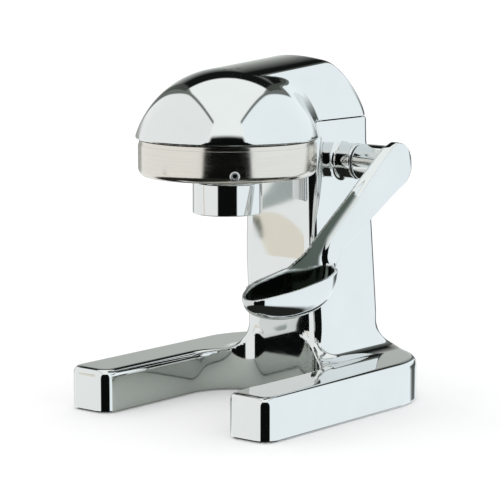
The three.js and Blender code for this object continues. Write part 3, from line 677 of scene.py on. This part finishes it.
# ---------------------------------------------------------------- carried-over nodes
SLOT_LOOKS = {"chrome": CHROME, "spout_chrome": SPOUT, "satin_ring": SATIN,
              "stainless": STAINLESS, "cup_aluminium": ALUMINIUM, "steel": STEEL,
              "bronze": BRONZE, "rubber": RUBBER, "nylon": NYLON}
for part in frame["record"]["subparts"]:
    node = frame["nodes"][part["node"]]
    for slot in node.material_slots:
        slot.material = SLOT_LOOKS[part["material_slot"]]

# ---------------------------------------------------------------- camera
CAMERA_AT = (1032.71, -1163.59, 354.96)
CAMERA_AIM = (28.14, 60.0, 123.26)
CAMERA_LENS = 158.89
camera_data = bpy.data.cameras.new("camera")
camera_data.lens = CAMERA_LENS
camera_data.sensor_width = 36.0
camera_data.clip_end = 50
camera = bpy.data.objects.new("camera", camera_data)
SCENE.collection.objects.link(camera)
camera.location = Vector(CAMERA_AT) * MM + Vector(ORIGIN)
target = Vector(CAMERA_AIM) * MM + Vector(ORIGIN)
camera.rotation_euler = (target - camera.location).to_track_quat("-Z", "Y").to_euler()
SCENE.camera = camera

# ------------------------------------------------ studio: a light tent open at the front
world = bpy.data.worlds.new("light_tent")
world.use_nodes = True
SCENE.world = world
world.cycles.sampling_method = "NONE"
WORLD = world.node_tree


def socket(value, holder, index=0):
    """Feeds a number or another node's output into an input of a node."""
    if isinstance(value, (int, float)):
        holder.inputs[index].default_value = value
    else:
        WORLD.links.new(value, holder.inputs[index])


def calc(operation, *values, clamp=False):
    """A maths node fed with numbers or other nodes' outputs."""
    node = WORLD.nodes.new("ShaderNodeMath")
    node.operation = operation
    node.use_clamp = clamp
    for i, value in enumerate(values):
        socket(value, node, i)
    return node.outputs[0]


def plus(a, b):
    return calc("ADD", a, b)


def minus(a, b):
    return calc("SUBTRACT", a, b)


def times(a, b):
    return calc("MULTIPLY", a, b)


def towards(azimuth, elevation=0.0):
    """How far the looking direction goes along an azimuth (0 = the front, 90 = the right)."""
    node = WORLD.nodes.new("ShaderNodeVectorMath")
    node.operation = "DOT_PRODUCT"
    WORLD.links.new(SKY.outputs["Generated"], node.inputs[0])
    a, e = math.radians(azimuth), math.radians(elevation)
    node.inputs[1].default_value = (
        math.sin(a) * math.cos(e), -math.cos(a) * math.cos(e), math.sin(e))
    return node.outputs["Value"]


def inside(distance, softness):
    """1 where distance is above zero, with a soft edge."""
    node = WORLD.nodes.new("ShaderNodeMapRange")
    node.interpolation_type = "SMOOTHSTEP"
    socket(distance, node)
    node.inputs["From Min"].default_value = -softness
    node.inputs["From Max"].default_value = softness
    return node.outputs["Result"]


def paint(under, colour, mask):
    """Lays a colour over another as far as the mask says."""
    node = WORLD.nodes.new("ShaderNodeMix")
    node.data_type = "RGBA"
    WORLD.links.new(mask, node.inputs["Factor"])
    for index, value in ((6, under), (7, colour)):
        if isinstance(value, tuple):
            node.inputs[index].default_value = (*value, 1)
        else:
            WORLD.links.new(value, node.inputs[index])
    return node.outputs[2]


SKY = WORLD.nodes.new("ShaderNodeTexCoord")
height = towards(0, 90)
tent = (1.08, 1.125, 1.11)      # the ceiling

# the ceiling's rear edge, the dark behind it and the backdrop fading up into it
REAR_SLOPE = 1.25
behind = inside(minus(times(towards(-140), REAR_SLOPE), height), 0.05)
tent = paint(tent, (0.008, 0.01, 0.009), behind)
fade = calc("MULTIPLY", minus(0.52, height), 1.40, clamp=True)
tent = paint(tent, (1.06, 1.12, 1.08), times(fade, behind))

# the two side walls, each with a thin dark seam along its top
WALL_SLOPE = 2.246
WALL_END = 1.30
for azimuth, side, colour in ((-38, 1, (1.0, 1.03, 1.03)), (117, -1, (1.02, 1.10, 1.14))):
    out, along = towards(azimuth), times(towards(azimuth + 90), side)
    top = times(minus(times(out, WALL_SLOPE), height), 1 / math.hypot(WALL_SLOPE, 1))
    end = inside(minus(times(out, WALL_END), along), 0.03)
    tent = paint(tent, colour, times(inside(top, 0.006), end))
    wide = plus(0.020, times(inside(minus(-0.62, along), 0.2), 0.05))
    seam = times(inside(minus(wide, calc("ABSOLUTE", top)), 0.014), end)
    tent = paint(tent, (0.08, 0.09, 0.08), times(seam, 0.9))

# grey gaps low down at the rear corners
for azimuth, width, colour in (
        (184, 0.962, (0.10, 0.11, 0.105)), (-118, 0.972, (0.42, 0.44, 0.42))):
    corner = inside(minus(towards(azimuth), width), 0.02)
    tent = paint(tent, colour, times(corner, inside(minus(0.10, height), 0.08)))

# the opening the camera looks through
out, along = towards(39.4), towards(129.4)
gap = minus(times(out, plus(0.567, times(height, -0.25))), calc("ABSOLUTE", along))
opening = times(inside(gap, 0.035), inside(minus(times(out, 0.80), height), 0.06))
tent = paint(tent, (0.004, 0.005, 0.0045), opening)
# the table below
tent = paint(tent, (0.02, 0.022, 0.02), inside(minus(-0.58, height), 0.05))

ray = WORLD.nodes.new("ShaderNodeLightPath")
shade = paint((1.0, 1.0, 1.0), tent, ray.outputs["Is Glossy Ray"])
WORLD.links.new(shade, WORLD.nodes["Background"].inputs["Color"])
SCENE.view_settings.view_transform = "Standard"

CARD_Y = -0.25


def card(name, outline, colour):
    """A small glowing card far out to the front left, seen only in the mirror faces."""
    mesh = bpy.data.meshes.new(name)
    points = [(x * MM + ORIGIN[0], CARD_Y + ORIGIN[1], z * MM) for x, z in outline]
    mesh.from_pydata(points, [], [tuple(range(len(points)))])
    made = bpy.data.materials.new(name)
    made.use_nodes = True
    shader = made.node_tree.nodes["Principled BSDF"]
    shader.inputs["Base Color"].default_value = (0, 0, 0, 1)
    shader.inputs["Specular IOR Level"].default_value = 0.0
    shader.inputs["Emission Color"].default_value = (*colour, 1)
    shader.inputs["Emission Strength"].default_value = 1.0
    mesh.materials.append(made)
    piece = bpy.data.objects.new(name, mesh)
    SCENE.collection.objects.link(piece)
    piece.visible_camera = piece.visible_diffuse = piece.visible_shadow = False


arch = [(-334, 76), (-323, 78), (-306, 79), (-296, 77), (-285, 72), (-275, 65), (-268, 59),
        (-261, 55)]
card("beige_card", arch + [(-255, 40), (-255, -6), (-322, -6), (-322, 50)], (0.90, 0.85, 0.74))
card("grey_card", [(-333, 77), (-296, 89), (-273, 98), (-262, 104), (-262, 118), (-300, 118),
                   (-322, 92)], (0.42, 0.47, 0.46))
card("dark_card", [(-338, 73), (-326, 74), (-321, 62), (-321, 50), (-324, 52), (-331, 64)],
     (0.05, 0.06, 0.04))

# the white table, just below the press so that the two never touch
FLOOR_HALF, FLOOR_Z = 8, -0.0002
floor_mesh = bpy.data.meshes.new("floor")
floor_corners = [(x * FLOOR_HALF, y * FLOOR_HALF, FLOOR_Z)
                 for x, y in ((-1, -1), (1, -1), (1, 1), (-1, 1))]
floor_mesh.from_pydata(floor_corners, [], [(0, 1, 2, 3)])
floor = bpy.data.objects.new("floor", floor_mesh)
SCENE.collection.objects.link(floor)
floor_mesh.materials.append(material("pale_floor", (0.93, 0.93, 0.93), 0.8, metallic=0.0, spread=0.01,
                                     grain=(3, 3, 3)))
floor_shader = floor_mesh.materials[0].node_tree.nodes["Principled BSDF"]
floor_shader.inputs["Emission Color"].default_value = (1, 1, 1, 1)
floor_shader.inputs["Emission Strength"].default_value = 0.16
floor.visible_glossy = False
floor.visible_shadow = False

# painted shade: a darker grey-green sheet of table between the arms, seen only in the mirror faces,
# stands in for the shade that falls on the table there
PATCH_FRONT, PATCH_BACK = 4, 160
patch_half = FOOT_HALF - ARM_WIDTH + 22
patch_mesh = bpy.data.meshes.new("shaded_slot_floor")
patch_corners = [(x * patch_half * MM + ORIGIN[0], y * MM + ORIGIN[1], 0.0)
                 for x, y in ((-1, PATCH_FRONT), (1, PATCH_FRONT), (1, PATCH_BACK), (-1, PATCH_BACK))]
patch_mesh.from_pydata(patch_corners, [], [(0, 1, 2, 3)])
patch = bpy.data.objects.new("shaded_slot_floor", patch_mesh)
SCENE.collection.objects.link(patch)
# the grey-green colour is painted shade on the table between the arms
patch_mesh.materials.append(material("shaded_slot_floor", (0.60, 0.64, 0.59), 0.8, metallic=0.0, spread=0.02,
                                     grain=(3, 3, 3)))
patch.visible_camera = patch.visible_diffuse = patch.visible_shadow = False
